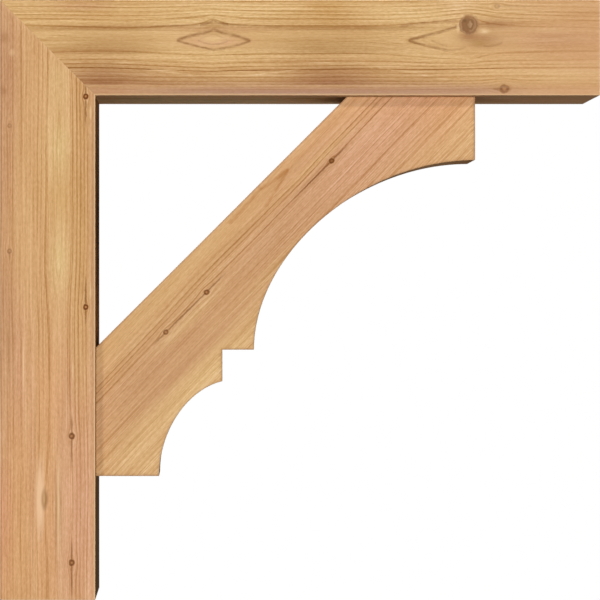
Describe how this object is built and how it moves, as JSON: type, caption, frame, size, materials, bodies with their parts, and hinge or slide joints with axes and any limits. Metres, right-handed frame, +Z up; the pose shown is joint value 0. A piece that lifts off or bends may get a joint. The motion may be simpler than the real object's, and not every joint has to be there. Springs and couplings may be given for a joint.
{
  "type": "wooden corbel bracket",
  "caption": "Timber corbel bracket: an upright wall post and a level beam mitred at the outer corner, with a carved diagonal brace of coves and a step between them.",
  "frame": {"origin": "the middle of the post's back face, where the wall holds the bracket", "axes": "+Z up the wall, +X out from the wall along the beam, Y across the thickness with the middle at 0"},
  "size_m": [0.5588, 0.0888, 0.5588],
  "materials": {
    "post_wood": "smooth planed softwood, upright grain, unfinished",
    "beam_wood": "smooth planed softwood, level grain, unfinished",
    "brace_wood": "smooth sawn and sanded softwood, diagonal grain, unfinished"
  },
  "bodies": {
    "root": {"wall_post": "post_wood", "top_beam": "beam_wood", "carved_brace": "brace_wood"}
  },
  "joints": []
}
